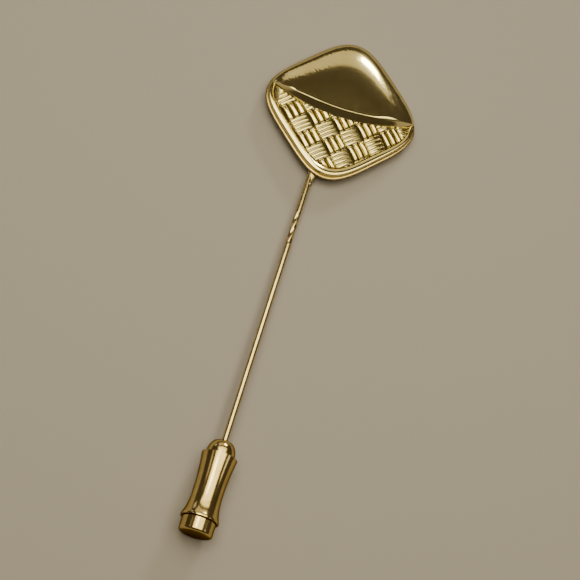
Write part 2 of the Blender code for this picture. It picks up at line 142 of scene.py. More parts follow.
def worn_metal(name, tones, roughness, blotch, mark, mark_depth, painted_shade=None, edge_tint=EDGE_TINT):
    """A metal with two tones, blotches of one size and marks of size (x, y, z), all in metres.

    The argument after mark_depth is (attribute name, hex colour): where that attribute of the mesh
    is low, shade is painted into the colour, and the metal is darker and duller."""
    made = bpy.data.materials.new(name)
    made.use_nodes = True
    tree = made.node_tree
    shader = tree.nodes["Principled BSDF"]
    shader.inputs["Metallic"].default_value = 1.0
    shader.inputs["Specular Tint"].default_value = linear(edge_tint)
    place = add_node(tree, "TexCoord").outputs["Object"]

    patches = add_node(tree, "TexNoise", {
        "Vector": place, "Scale": 1 / blotch, "Detail": PATCH_DETAIL, "Roughness": PATCH_GRAIN,
    })
    patch_mix = add_node(tree, "MapRange", {
        "Value": patches.outputs["Fac"], "From Min": PATCH_RANGE[0], "From Max": PATCH_RANGE[1],
    })
    tone = add_node(tree, "Mix", {
        MIX_FACTOR: patch_mix.outputs[0], MIX_A: linear(tones[0]), MIX_B: linear(tones[1]),
    }, data_type="RGBA")
    colour = tone.outputs[MIX_RESULT]

    stretched = add_node(tree, "Mapping", {"Vector": place, "Scale": [1 / size for size in mark]})
    marks = add_node(tree, "TexNoise", {
        "Vector": stretched.outputs[0], "Scale": 1.0, "Detail": MARK_DETAIL, "Roughness": MARK_GRAIN,
    })
    gloss = add_node(tree, "MapRange", {
        "Value": marks.outputs["Fac"], "From Min": MARK_RANGE[0], "From Max": MARK_RANGE[1],
        "To Min": roughness[0], "To Max": roughness[1],
    })
    rough = gloss.outputs[0]

    # Painted shade: where the mesh value is low, the colour is mixed towards a dark shade colour.
    if painted_shade:
        height = add_node(tree, "Attribute", attribute_name=painted_shade[0])
        shade_share = add_node(tree, "MapRange", {
            "Value": height.outputs["Fac"], "From Min": PAINTED_SHADE_RANGE[0], "From Max": PAINTED_SHADE_RANGE[1],
            "To Min": 1.0, "To Max": 0.0,
        })
        shaded_tone = add_node(tree, "Mix", {
            MIX_FACTOR: shade_share.outputs[0], MIX_A: colour, MIX_B: linear(painted_shade[1]),
        }, data_type="RGBA")
        colour = shaded_tone.outputs[MIX_RESULT]
        dull = add_node(
            tree, "Math", {0: shade_share.outputs[0], 1: PAINTED_SHADE_DULLING, 2: rough}, operation="MULTIPLY_ADD"
        )
        rough = dull.outputs[0]

    bump = add_node(tree, "Bump", {
        "Height": marks.outputs["Fac"], "Distance": mark_depth, "Strength": 1.0,
    })
    tree.links.new(colour, shader.inputs["Base Color"])
    tree.links.new(rough, shader.inputs["Roughness"])
    tree.links.new(bump.outputs["Normal"], shader.inputs["Normal"])
    print(f"{name}: blotches {blotch / MM:.1f} mm, marks {mark[0] / MM:.2f} x {mark[1] / MM:.2f} mm")
    return made


# %% [markdown]
# ## Three kinds of gold plate
# *Head gold* is a pale gold electroplate on a brass stamping, buffed on a mop. Buffing leaves
# swirls, and handling dulls the plate in patches. Real swirls are a twentieth of a millimetre wide,
# too fine to show here, so they are drawn four times as coarse. The weave's grooves get painted
# shade, darker and duller: the mesh carries a value called relief, which is low down there.
#
# *Back gold* is the same plate where nobody buffs it, so it keeps a straight grain from the brass
# sheet and is rougher. *Stem gold* is plated drawn wire: the die leaves hair lines along it.

# %% Mix the gold finishes
head_gold = worn_metal(
    "gold_plated_brass_buffed", ("#ECDFA2", "#E0D090"), (0.09, 0.16),
    blotch=3.0 * MM, mark=(0.9 * MM, 0.18 * MM, 0.9 * MM), mark_depth=0.0004 * MM,
    # painted shade in the weave's grooves, darkest where relief is low
    painted_shade=("relief", "#2C250F"),
)
back_gold = worn_metal(
    "gold_plated_brass_sheet", ("#CDB87C", "#B29A62"), (0.20, 0.36),
    blotch=4.0 * MM, mark=(6 * MM, 0.08 * MM, 1 * MM), mark_depth=0.003 * MM,
)
stem_gold = worn_metal(
    "gold_plated_drawn_wire", ("#E2D2A2", "#D0BB84"), (0.14, 0.24),
    blotch=2.5 * MM, mark=(0.07 * MM, 5 * MM, 0.07 * MM), mark_depth=0.0008 * MM,
)

# %% [markdown]
# ## Brass and solder
# *Turned brass* comes off a lathe, so its fine lines run round it, which a noise that changes only
# along the axis gives. It is redder than the plate. Its sides are darker at a grazing angle: a very
# dark specular tint paints shade into the table's reflection there. *Plated solder* froze
# from a melt, so it is lumpy and duller, and it has no direction.

# %% Mix the brass and the solder
turned_brass = worn_metal(
    "turned_brass_polished", ("#DCC688", "#CAB072"), (0.12, 0.20),
    blotch=2.0 * MM, mark=(8 * MM, 0.06 * MM, 8 * MM), mark_depth=0.0006 * MM,
    # a very dark edge tint: painted shade in the grazing reflections of the sides
    edge_tint="#463628",
)
plated_solder = worn_metal(
    "solder_under_thin_gold", ("#D2C08C", "#B5A06C"), (0.24, 0.40),
    blotch=0.8 * MM, mark=(0.35 * MM,) * 3, mark_depth=0.02 * MM,
)

# %% [markdown]
# ## Steel
# *Bearing steel* is ground and polished, the smoothest metal here. *Spring steel* is drawn, like
# the stem, and greyer.

# %% Mix the steels
bearing_steel = worn_metal(
    "bearing_steel_polished", ("#C2C3C6", "#AEB0B4"), (0.06, 0.14),
    blotch=1.0 * MM, mark=(0.2 * MM, 0.2 * MM, 0.03 * MM), mark_depth=0.001 * MM,
)
spring_steel = worn_metal(
    "spring_steel_drawn", ("#A9AAAD", "#8F9196"), (0.18, 0.32),
    blotch=0.6 * MM, mark=(0.05 * MM, 0.05 * MM, 0.3 * MM), mark_depth=0.002 * MM,
)

# %% [markdown]
# ## Making a piece
# Each piece is a mesh in its own space, smooth-shaded, that rides on one moving body of the model,
# takes one finish and stands for the plain solids it replaces. One function does all of that, so no
# piece can be left behind when the joints move.

# %% A mesh becomes a piece
def make_piece(name, bm, space, finish, body, replaces):
    """Turns a bmesh in a working space into a named piece that rides on a body."""
    bmesh.ops.recalc_face_normals(bm, faces=bm.faces)
    bmesh.ops.transform(bm, matrix=space, verts=bm.verts)
    mesh = bpy.data.meshes.new(name)
    bm.to_mesh(mesh)
    bm.free()
    mesh.shade_smooth()
    mesh.materials.append(finish)
    piece = bpy.data.objects.new(name, mesh)
    bpy.context.scene.collection.objects.link(piece)
    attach(piece, body)
    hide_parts(*replaces)
    print(f"{name}: {len(mesh.vertices)} points, rides on {body}")
    return piece


# %% [markdown]
# ## Turned and lofted shapes
# Turned pieces are drawn as half a section and spun. A real edge is never perfectly sharp: it is
# broken with a file or worn, and that thin round edge is what catches the light. So the section's
# corners are softened first. Wire, solder and plate are lofted: rings of points joined in a row.

# %% Helpers that make the meshes
WELD = 0.0005 * MM
MOST_OF_A_SIDE = 0.45


def softened(profile, reach, steps=4):
    """A closed section of (radius, height) points with a short curve in place of each corner."""
    made = []
    count = len(profile)
    for i in range(count):
        corner = Vector(profile[i])
        back = Vector(profile[i - 1]) - corner
        ahead = Vector(profile[(i + 1) % count]) - corner
        start = corner + back.normalized() * min(reach, MOST_OF_A_SIDE * back.length)
        end = corner + ahead.normalized() * min(reach, MOST_OF_A_SIDE * ahead.length)
        for k in range(steps + 1):
            share = k / steps
            made.append(start.lerp(corner, share).lerp(corner.lerp(end, share), share))
    return made


def turned(profile, steps=128):
    """Spins a closed section of (radius, height) points round the Z axis into a ring."""
    bm = bmesh.new()
    rings = []
    for i in range(steps):
        angle = math.tau * i / steps
        rings.append([bm.verts.new((r * math.cos(angle), r * math.sin(angle), z)) for r, z in profile])
    for here, there in zip(rings, rings[1:] + rings[:1]):
        for j in range(len(profile)):
            bm.faces.new((here[j], there[j], there[j - 1], here[j - 1]))
    bmesh.ops.remove_doubles(bm, verts=bm.verts, dist=WELD)
    return bm


def lofted(rings):
    """Joins a row of point rings into a tube with closed ends."""
    bm = bmesh.new()
    made = [[bm.verts.new(point) for point in ring] for ring in rings]
    count = len(made[0])
    for here, there in zip(made, made[1:]):
        for j in range(count):
            bm.faces.new((here[j - 1], here[j], there[j], there[j - 1]))
    bm.faces.new(made[0])
    bm.faces.new(made[-1])
    return bm


def eased(share):
    """0 to 1 with a soft start and a soft end."""
    share = min(1.0, max(0.0, share))
    return share * share * (3 - 2 * share)


print("a quarter of the way, an eased share is", round(eased(0.25), 3))

# %% [markdown]
# ## The head's outline
# The head is a squircle, between a square and a circle: |u|^n + |v|^n = a^n, with u and v square to
# its sides. At n = 2 it is a circle and at n = 8 nearly a square; 3.8 gives these sides their gentle
# bow. It stands on a corner, so the formula is turned by 45 degrees. `edge_share` runs from 0 in the
# middle to 1 on the outline, and shapes the pillow.

# %% Outline functions
FACE_HALF_SIDE = 8.20 * MM
PLATE_HALF_SIDE = 8.416 * MM
SQUARENESS = 3.8


def outline_reach(angle, half_side):
    u, v = math.cos(angle - math.pi / 4), math.sin(angle - math.pi / 4)
    return half_side / (abs(u) ** SQUARENESS + abs(v) ** SQUARENESS) ** (1 / SQUARENESS)


def outline_point(angle, half_side):
    reach = outline_reach(angle, half_side)
    return Vector((reach * math.cos(angle), reach * math.sin(angle)))


def edge_share(point, half_side):
    return point.length / outline_reach(math.atan2(point.y, point.x), half_side)


print("corner to corner, in mm:", round(2 * outline_reach(0, PLATE_HALF_SIDE) / MM, 2))

# %% [markdown]
# ## The basket weave
# The field copies a basket: a chequerboard of small panels, where three broad ribs run one way in
# one panel and four thin ribs run the other way in the next. We could model each rib as its own bar
# and trim it where it meets the border, but the real weave is one skin, struck by a die. So the
# weave is a height for each point of the field.
#
# Across a rib the height is a round with a flattened top, with a narrow gap left between ribs. The
# thin ribs lie closer, so their gaps don't go down to the floor, and they lean down towards one end.
# Along it, a rib bows up in the middle and dives at both ends, which is what makes it look woven. A
# die is cut by hand, so no two ribs are quite alike: each takes a small difference of height from
# its own number.

# %% Height of the weave
WEAVE_TURN = math.radians(42.3)
PANEL_LENGTH = 2.46 * MM
PANEL_WIDTH = 2.12 * MM
WEAVE_START = Vector((-5.96 * MM, -4.02 * MM))
BROAD_RIBS, THIN_RIBS = 3, 4
RIB_HEIGHT = 0.34 * MM
RIB_FILL = 0.72
RIB_FLATNESS = 4
RIB_BOW = 0.26
RIB_END = 0.24
THIN_GROOVE = 0.50
THIN_LEAN = 0.70
HAND_CUT = 0.14
HAND_I, HAND_J, HAND_RIB = 12.9, 78.2, 37.7


def weave_height(point):
    """Height above the field's floor, as a share of a rib's height."""
    lengthwise = point.x * math.cos(WEAVE_TURN) + point.y * math.sin(WEAVE_TURN)
    crosswise = point.y * math.cos(WEAVE_TURN) - point.x * math.sin(WEAVE_TURN)
    i_place = (lengthwise - WEAVE_START.x) / PANEL_LENGTH + 0.5
    j_place = (crosswise - WEAVE_START.y) / PANEL_WIDTH + 0.5
    i, j = math.floor(i_place), math.floor(j_place)
    if (i + j) % 2:
        along, over, ribs, groove, lean = j_place - j, i_place - i, BROAD_RIBS, 1.0, 0.0
    else:
        along, over, ribs, groove, lean = i_place - i, j_place - j, THIN_RIBS, THIN_GROOVE, THIN_LEAN
    rib = math.floor(over * ribs)
    side = abs(2 * (over * ribs - rib) - 1) / RIB_FILL
    end = abs(2 * along - 1)
    across = math.sqrt(max(0.0, 1 - side ** RIB_FLATNESS))
    bow = 1 - RIB_BOW * end * end - lean * along
    tip = math.sqrt(max(0.0, 1 - max(0.0, (end - 1 + RIB_END) / RIB_END) ** 2))
    own = 1 - HAND_CUT * (0.5 + 0.5 * math.sin(HAND_I * i + HAND_J * j + HAND_RIB * rib))
    return (1 - groove + groove * across) * bow * tip * own


rib_widths = [round(PANEL_LENGTH / BROAD_RIBS / MM, 2), round(PANEL_WIDTH / THIN_RIBS / MM, 2)]
print("a broad and a thin rib are this wide, in mm:", rib_widths)

# %% [markdown]
# ## The face
# Seen from above, the face has four zones: the domed pillow, a narrow leaf that falls from the
# pillow's crease to the field, the sunk field with its weave, and a rolled border round the field. A
# plain grid would cut across the crease and the borders and leave them ragged. So the grid is bent
# to fit: each column runs from the top outline down to the bottom one, and each zone has its own
# rows, so every edge lies exactly on a row.
#
# The pillow's height is steep at the rim and nearly flat in the middle. This decides the look of the
# polished half more than any material: the steep rim mirrors the room's dark edge, the shoulder
# mirrors the lamps, and the flat middle mirrors the dim ceiling.

# %% The pillow
RIM_HEIGHT = 0.50 * MM
PILLOW_RISE = 1.85 * MM
PILLOW_RADIUS = 9.0 * MM
PILLOW_SHOULDER, PILLOW_ROUNDING = 3, 0.6


def pillow_height(point):
    """The contour lines are circles in the middle and follow the outline at the rim."""
    share = min(1.0, edge_share(point, FACE_HALF_SIDE))
    share += (point.length / PILLOW_RADIUS - share) * (1 - share ** 2)
    return RIM_HEIGHT + PILLOW_RISE * (1 - share ** PILLOW_SHOULDER) ** PILLOW_ROUNDING


print("the pillow's top, in mm:", round(pillow_height(Vector((0, 0))) / MM, 2))

# %% [markdown]
# ### Marks of the mop
# A mop drags on the pillow's shoulder and leaves low ripples there, more on the left and near the
# right corner. The lamps' edges break up on them. They are part of the mesh, with one small pit, so
# that they bend the reflections as the real ones do.

# %% Buffing marks on the pillow
RIPPLE_DEPTH = 0.0110 * MM
RIPPLE_WIDTH, RIPPLE_LENGTH = 0.20 * MM, 0.9 * MM
RIPPLE_LEAST = 0.15
LEFT_START, LEFT_FADE = -2 * MM, 4 * MM
RIGHT_START, RIGHT_FADE = 6 * MM, 3 * MM
SHOULDER_START, SHOULDER_FADE = 0.58, 0.14
SHOULDER_END, SHOULDER_END_FADE = 0.97, 0.06
PIT_PLACE = Vector((-3.94 * MM, 1.0 * MM))
PIT_RADIUS, PIT_DEPTH = 0.11 * MM, 0.03 * MM


def buffing(point):
    """Low ripples across the pillow's shoulder, where the mop catches, and one small pit."""
    share = edge_share(point, FACE_HALF_SIDE)
    u, v = (point.x + point.y) / math.sqrt(2), (point.y - point.x) / math.sqrt(2)
    on_left = eased((v - u - LEFT_START) / LEFT_FADE)
    near_right = eased((u - v - RIGHT_START) / RIGHT_FADE)
    shoulder = eased((share - SHOULDER_START) / SHOULDER_FADE)
    shoulder *= eased((SHOULDER_END - share) / SHOULDER_END_FADE)
    ripple = noise.noise(Vector((u / RIPPLE_WIDTH, v / RIPPLE_LENGTH, 0)))
    pit = max(0.0, 1 - (point - PIT_PLACE).length / PIT_RADIUS)
    strength = RIPPLE_LEAST + (1 - RIPPLE_LEAST) * max(on_left, near_right)
    return RIPPLE_DEPTH * ripple * shoulder * strength - PIT_DEPTH * eased(pit)


print("the pit's depth, in mm:", round(-buffing(PIT_PLACE) / MM, 3))

# %% [markdown]
# ### The crease and the leaf
# The pillow ends in a bowed crease. Its edge is rounded off over a few hundredths of a millimetre,
# and over more of it towards the right, where the mop has worn it to a small bright spindle. From
# there the leaf falls to the field's lip. Both are bows between two points, so one function draws
# them.

# %% Rows of the pillow and the leaf
PILLOW_ROWS, EDGE_ROWS, LEAF_ROWS = 60, 6, 14
ROW_CROWDING = 1.4
CREASE_EDGE, SPINDLE_EDGE = 0.04 * MM, 0.50 * MM
SPINDLE_PLACE, SPINDLE_REACH = 6.0 * MM, 1.5 * MM
MOST_EDGE = 0.3
EDGE_FALL = 0.20
LEAF_CROWDING, LEAF_CURVE = 1.3, 0.9


def bowed(left, right, share, sag):
    """A point on a bow between two ends. Points crowd near the ends, as the columns do."""
    point = left.lerp(right, 0.5 - 0.5 * math.cos(math.pi * share))
    point.y -= sag * math.sin(math.pi * share) ** 2
    return point


def pillow_rows(top, crease, opened):
    """From the top outline to the crease, with the crease's rounded edge last."""
    spindle = math.exp(-((crease.x - SPINDLE_PLACE) / SPINDLE_REACH) ** 2)
    edge_width = CREASE_EDGE + (SPINDLE_EDGE - CREASE_EDGE) * spindle
    last_row = 1 - min(MOST_EDGE, edge_width / max((crease - top).length, edge_width))
    rows = []
    for k in range(PILLOW_ROWS):
        point = top.lerp(crease, last_row * (k / (PILLOW_ROWS - 1)) ** ROW_CROWDING)
        rows.append((*point, pillow_height(point) + buffing(point), 1.0))
    for k in range(1, EDGE_ROWS + 1):
        point = top.lerp(crease, last_row + (1 - last_row) * k / EDGE_ROWS)
        rounding = EDGE_FALL * edge_width * (k / EDGE_ROWS) ** 2
        rows.append((*point, pillow_height(point) - rounding * opened, 1.0))
    return rows


def leaf_rows(crease, field_top, ridge, lip):
    """From the crease, at the height called ridge, down to the field's lip."""
    rows = []
    for k in range(1, LEAF_ROWS + 1):
        fall = (k / LEAF_ROWS) ** LEAF_CROWDING
        rows.append((*crease.lerp(field_top, fall), ridge + (lip - ridge) * fall ** LEAF_CURVE, 1.0))
    return rows


print("rows down the pillow and the leaf:", PILLOW_ROWS + EDGE_ROWS + LEAF_ROWS)

# %% [markdown]
# ### The field and its rolled border
# The field is struck below the lip and the roll. Its floor slopes a little, because the lip stands
# higher than the roll, and the weave fades out in a thin margin all round. The far left corner is
# too narrow for the die's ribs, so there it stays plain.
#
# The roll is a half-round bead. On the left its crest lies near the field and its outer side slopes
# away broadly; on the right the crest lies further out. It starts with a small step, which keeps a
# dark line between the weave and the bead; that line is also painted shade, from low relief there.

# %% Rows of the field and the roll
FIELD_ROWS, ROLL_ROWS = 150, 26
FLOOR_DEPTH = 0.36 * MM
STEP_WIDTH = 0.05 * MM
TOP_MARGIN, LOW_MARGIN = 0.06 * MM, 0.16 * MM
PLAIN_CORNER, PLAIN_FADE, PLAIN_HEIGHT = -7.7 * MM, 0.4 * MM, 0.85
ROLL_WIDTH = 0.85 * MM
CORNER_NARROWING, CORNER_SHARPNESS = 0.35, 12
ROLL_TOP, ROLL_FOOT = 0.74 * MM, 0.30 * MM
ROLL_STEP, ROLL_STEP_REACH = 0.60, 0.15
ROLL_FALL, ROLL_EDGE = 0.16, 8
ROLL_SHADE_PACE = 5
LEFT_CREST, RIGHT_CREST = 0.35, 0.72
CREST_TURN, CREST_FADE = -3.0 * MM, 2.5 * MM


def field_outline(angle):
    """The roll's inner edge. The roll narrows towards the left and the right corner."""
    width = ROLL_WIDTH * (1 - CORNER_NARROWING * abs(math.cos(angle)) ** CORNER_SHARPNESS)
    return outline_point(angle, FACE_HALF_SIDE - width)


def roll_shape(share, crest):
    """Height of the roll from its inner foot at 0 to its outer foot at 1, highest at the crest."""
    if share < crest:
        rise = share / crest
        bead = math.sin(math.pi / 2 * rise)
        return ROLL_STEP * eased(rise / ROLL_STEP_REACH) + (1 - ROLL_STEP) * bead
    outward = (share - crest) / (1 - crest)
    return (1 - ROLL_FALL * outward) * math.sqrt(1 - outward ** ROLL_EDGE)


def field_rows(field_top, field_low, lip):
    """From the lip down the field: a sloping floor with the weave standing on it."""
    high_floor, low_floor = lip - FLOOR_DEPTH, ROLL_TOP - FLOOR_DEPTH
    length = max((field_low - field_top).length, STEP_WIDTH)
    rows = []
    for k in range(FIELD_ROWS + 1):
        down = k / FIELD_ROWS
        point = field_top.lerp(field_low, down)
        step = eased(down * length / STEP_WIDTH)
        floor = high_floor + (low_floor - high_floor) * down
        margin = eased(down * length / TOP_MARGIN) * eased((1 - down) * length / LOW_MARGIN)
        plain = eased((PLAIN_CORNER - point.x) / PLAIN_FADE)
        # relief is low in the grooves and in the margin, and there painted shade darkens the gold.
        relief = (weave_height(point) * (1 - plain) + PLAIN_HEIGHT * plain) * margin
        height = floor + RIB_HEIGHT * relief
        rows.append((*point, lip + (height - lip) * step, relief + (1 - relief) * (1 - step)))
    return rows


def roll_rows(field_low, bottom, opened):
    """From the field's lower edge over the roll to the bottom outline."""
    low_floor = ROLL_TOP - FLOOR_DEPTH
    foot = RIM_HEIGHT + (ROLL_FOOT - RIM_HEIGHT) * opened
    crest = LEFT_CREST + (RIGHT_CREST - LEFT_CREST) * eased((bottom.x - CREST_TURN) / CREST_FADE)
    rows = []
    for k in range(1, ROLL_ROWS + 1):
        over = 0.5 - 0.5 * math.cos(math.pi * k / ROLL_ROWS)
        base = low_floor if over < crest else foot
        point = field_low.lerp(bottom, over)
        height = base + (ROLL_TOP - base) * roll_shape(over, crest)
        # Low relief at the roll's inner foot paints a line of shade there.
        rows.append((*point, height, eased(over * ROLL_SHADE_PACE)))
    return rows


print("the roll's width, in mm:", round(ROLL_WIDTH / MM, 2))

# %% [markdown]
# ### From columns to a mesh
# A column crosses the zones in order. At the two corners the zones close up, so every height that
# differs between them grows from nothing with the width of the lens between crease and border.
# Columns side by side make the skin. One flat face closes it underneath and one upright sliver
# closes it at each corner, so the piece is a solid.

# %% Build the face from its columns
COLUMNS = 380
CREASE_ANGLE = math.asin(0.75 * MM / FACE_HALF_SIDE)
CREASE_SAG = 1.90 * MM
LEAF_ANGLE = math.asin(0.35 * MM / FACE_HALF_SIDE)
LEAF_SAG = 2.15 * MM
LIP_RISE = 0.85 * MM
OPENING = 8
RIM_RELIEF = 0.6


def face_column(share):
    """Rows of (x, y, z, relief) from the top outline's foot to the bottom outline's foot."""
    above, below = math.pi - 2 * CREASE_ANGLE, math.pi + 2 * CREASE_ANGLE
    top = outline_point(math.pi - CREASE_ANGLE - share * above, FACE_HALF_SIDE)
    bottom = outline_point(math.pi - CREASE_ANGLE + share * below, FACE_HALF_SIDE)
    field_low = field_outline(math.pi - LEAF_ANGLE + share * (math.pi + 2 * LEAF_ANGLE))
    crease_left = outline_point(math.pi - CREASE_ANGLE, FACE_HALF_SIDE)
    crease = bowed(crease_left, outline_point(CREASE_ANGLE, FACE_HALF_SIDE), share, CREASE_SAG)
    field_top = bowed(field_outline(math.pi - LEAF_ANGLE), field_outline(LEAF_ANGLE), share, LEAF_SAG)
    lens = math.sin(math.pi * share) ** 2
    opened = eased(OPENING * lens)
    lip = ROLL_TOP + LIP_RISE * lens
    rows = [(*top, 0.0, RIM_RELIEF)]
    rows += pillow_rows(top, crease, opened)
    ridge = rows[-1][2]
    rows += leaf_rows(crease, field_top, ridge, lip)
    rows += field_rows(field_top, field_low, lip)
    rows += roll_rows(field_low, bottom, opened)
    rows.append((*bottom, 0.0, RIM_RELIEF))
    return rows


face_mesh = bmesh.new()
relief_layer = face_mesh.verts.layers.float.new("relief")
grid = []
for i in range(COLUMNS + 1):
    made = []
    for x, y, z, relief in face_column(i / COLUMNS):
        vert = face_mesh.verts.new((x, y, z))
        vert[relief_layer] = relief
        made.append(vert)
    grid.append(made)
for here, there in zip(grid, grid[1:]):
    for j in range(len(here) - 1):
        face_mesh.faces.new((here[j], here[j + 1], there[j + 1], there[j]))
face_mesh.faces.new([rows[0] for rows in grid] + [rows[-1] for rows in reversed(grid[1:-1])])
bmesh.ops.remove_doubles(face_mesh, verts=face_mesh.verts, dist=WELD)
bmesh.ops.dissolve_degenerate(face_mesh, edges=face_mesh.edges, dist=WELD)
bmesh.ops.holes_fill(face_mesh, edges=[edge for edge in face_mesh.edges if edge.is_boundary])
make_piece("woven_face", face_mesh, face_space, head_gold, "pin", ["head_face"])

# %% [markdown]
# ## The back plate
# A flat blank closes the hollow stamping. It is a little wider than the face, so it shows as a thin
# bright ledge round the head. A flat sheet could be one extruded outline, but then its edge would be
# knife-sharp and invisible. Three rings below and three above give it a rounded edge that holds a
# line of light.

# %% Build the back plate
PLATE_THICKNESS = 0.35 * MM
PLATE_EDGE = 0.12 * MM
PLATE_STEPS = 240
rings = []
for inset, height in ((1.0, 0.0), (0.3, 0.3), (0.0, 1.0)):
    half_side = PLATE_HALF_SIDE - inset * PLATE_EDGE
    corners = [outline_point(math.tau * i / PLATE_STEPS, half_side) for i in range(PLATE_STEPS)]
    rings.append([(*corner, height * PLATE_EDGE) for corner in corners])
rings += [[(x, y, PLATE_THICKNESS - z) for x, y, z in ring] for ring in reversed(rings)]
make_piece("closing_plate", lofted(rings), head_space, back_gold, "pin", ["back_plate"])

# %% [markdown]
# ## The stem
# One drawn wire, 0.80 mm across. A short stretch below the head has been squeezed in a square die
# and twisted, so that it can't creep in the cloth; its four flats wind round it and catch the light
# in turn. The other end is ground to a point. A curve with a bevel would make the wire, but not the
# twist, so the wire is lofted from rings.

# %% Build the stem
WIRE_RADIUS = 0.40 * MM
WIRE_SIDES = 40
WIRE_TOP, WIRE_TIP = 1.90 * MM, -54.30 * MM
WIRE_EDGE = 0.06 * MM
TWIST_TOP, TWIST_LENGTH = -14.90 * MM, 5.00 * MM
TWIST_TURNS, TWIST_FLATS = 2.5, 4
TWIST_DEPTH, TWIST_FADE = 0.07, 1 / 8
POINT_LENGTH, POINT_RADIUS, POINT_CURVE = 1.50 * MM, 0.05 * MM, 1.4
UPPER_STEPS, TWIST_STEPS, LOWER_STEPS, POINT_STEPS = 8, 120, 16, 8


def wire_ring(along, radius, turn=0.0, depth=0.0):
    points = []
    for i in range(WIRE_SIDES):
        angle = math.tau * i / WIRE_SIDES
        reach = radius * (1 + depth * (math.cos(TWIST_FLATS * (angle - turn)) - 1))
        points.append((reach * math.cos(angle), along, reach * math.sin(angle)))
    return points


rings = [wire_ring(WIRE_TOP, WIRE_RADIUS - WIRE_EDGE), wire_ring(WIRE_TOP - WIRE_EDGE, WIRE_RADIUS)]
rings += [wire_ring(TWIST_TOP * k / UPPER_STEPS, WIRE_RADIUS) for k in range(UPPER_STEPS)]
for k in range(TWIST_STEPS + 1):
    share = k / TWIST_STEPS
    turn = math.tau * TWIST_TURNS * share / TWIST_FLATS
    depth = TWIST_DEPTH * eased(share / TWIST_FADE) * eased((1 - share) / TWIST_FADE)
    rings.append(wire_ring(TWIST_TOP - TWIST_LENGTH * share, WIRE_RADIUS, turn, depth))
plain_start, plain_end = TWIST_TOP - TWIST_LENGTH, WIRE_TIP + POINT_LENGTH
for k in range(1, LOWER_STEPS + 1):
    rings.append(wire_ring(plain_start + (plain_end - plain_start) * k / LOWER_STEPS, WIRE_RADIUS))
for k in range(1, POINT_STEPS + 1):
    share = k / POINT_STEPS
    radius = WIRE_RADIUS + (POINT_RADIUS - WIRE_RADIUS) * share ** POINT_CURVE
    rings.append(wire_ring(plain_end - POINT_LENGTH * share, radius))
make_piece("stem_wire", lofted(rings), pin_space, stem_gold, "pin", ["stem"])

# %% [markdown]
# ## The solder
# The stem lies along the back plate in a run of solder, which wicks down the wire and freezes in a
# last small bead below the head's lower corner. Solder has no edges: it wets both surfaces and
# curves between them. A lofted drop with a smooth swell gives that, and the bead is one more swell
# near its end. The plate lies above it, so the drop is cut flat just below the plate.

# %% Build the solder
DROP_TOP, DROP_END = 2.60 * MM, -11.25 * MM
DROP_STEPS, DROP_SIDES = 80, 28
DROP_HALF_WIDTH, DROP_HALF_DEPTH = 1.15 * MM, 0.22 * MM
DROP_RISE, TAIL_RISE = 0.26 * MM, 0.05 * MM
DROP_OFFSET, OFFSET_START, OFFSET_FADE = 0.24 * MM, 0.6, 0.3
TAIL_RADIUS, TAIL_START = 0.24 * MM, 0.93
SWELL_START, SWELL_PACE, SWELL_ROUNDING = 0.02, 1.05, 0.6
ROUND_END = 0.015
BEAD_PLACE, BEAD_REACH, BEAD_SWELL = -11.0 * MM, 0.18 * MM, 0.07 * MM
SKIN = 0.01 * MM

rings = []
for k in range(DROP_STEPS + 1):
    share = k / DROP_STEPS
    along = DROP_TOP + (DROP_END - DROP_TOP) * share
    round_end = math.sqrt(max(0.0, 1 - max(0.0, (share - 1 + ROUND_END) / ROUND_END) ** 2))
    swell = 0.0
    if share < TAIL_START:
        swell = math.sin(math.pi * min(1.0, SWELL_START + share * SWELL_PACE)) ** SWELL_ROUNDING
    bead = BEAD_SWELL * math.exp(-((along - BEAD_PLACE) / BEAD_REACH) ** 2)
    width = (TAIL_RADIUS + (DROP_HALF_WIDTH - TAIL_RADIUS) * swell + bead) * round_end + SKIN
    depth = (TAIL_RADIUS + DROP_HALF_DEPTH * swell + bead) * round_end + SKIN
    middle_x = DROP_OFFSET * eased((share - OFFSET_START) / OFFSET_FADE)
    middle_z = DROP_RISE * swell + TAIL_RISE
    ring = []
    for j in range(DROP_SIDES):
        angle = math.tau * j / DROP_SIDES
        height = min(middle_z + depth * math.sin(angle), STANDOFF - SKIN)
        ring.append((middle_x + width * math.cos(angle), along, height))
    rings.append(ring)
make_piece("solder_run", lofted(rings), pin_space, plated_solder, "pin", ["solder_joint"])

# %% [markdown]
# ## The sleeve
# The sleeve is a cup drawn from brass tube and pinched to a waist, which gives the fingers a grip.
# Its outline is two curves that meet at the waist with no break: a parabola up to the mouth and a
# steeper cubic down to the flared base. A spline through points would do as well, but two formulas
# are easier to adjust. Heights run from the sleeve's mouth away from the head, because that is how
# the clutch is assembled.

# %% Build the sleeve
SLEEVE_LENGTH = 7.90 * MM
SLEEVE_WALL = 0.20 * MM
MOUTH_RADIUS, WAIST_RADIUS, BASE_RADIUS = 2.17 * MM, 1.80 * MM, 2.296 * MM
MOUTH_CURVE, BASE_CURVE = 2, 3
WAIST_AT = 4.30 * MM
BASE_HOLE = 0.74 * MM
BASE_RIM = 0.22 * MM
SMALL_EDGE = 0.05 * MM
WALL_STEPS = 48


def sleeve_radius(height):
    if height < WAIST_AT:
        share = (WAIST_AT - height) / WAIST_AT
        return WAIST_RADIUS + (MOUTH_RADIUS - WAIST_RADIUS) * share ** MOUTH_CURVE
    share = min(1.0, (height - WAIST_AT) / (SLEEVE_LENGTH - BASE_RIM - WAIST_AT))
    return WAIST_RADIUS + (BASE_RADIUS - WAIST_RADIUS) * share ** BASE_CURVE


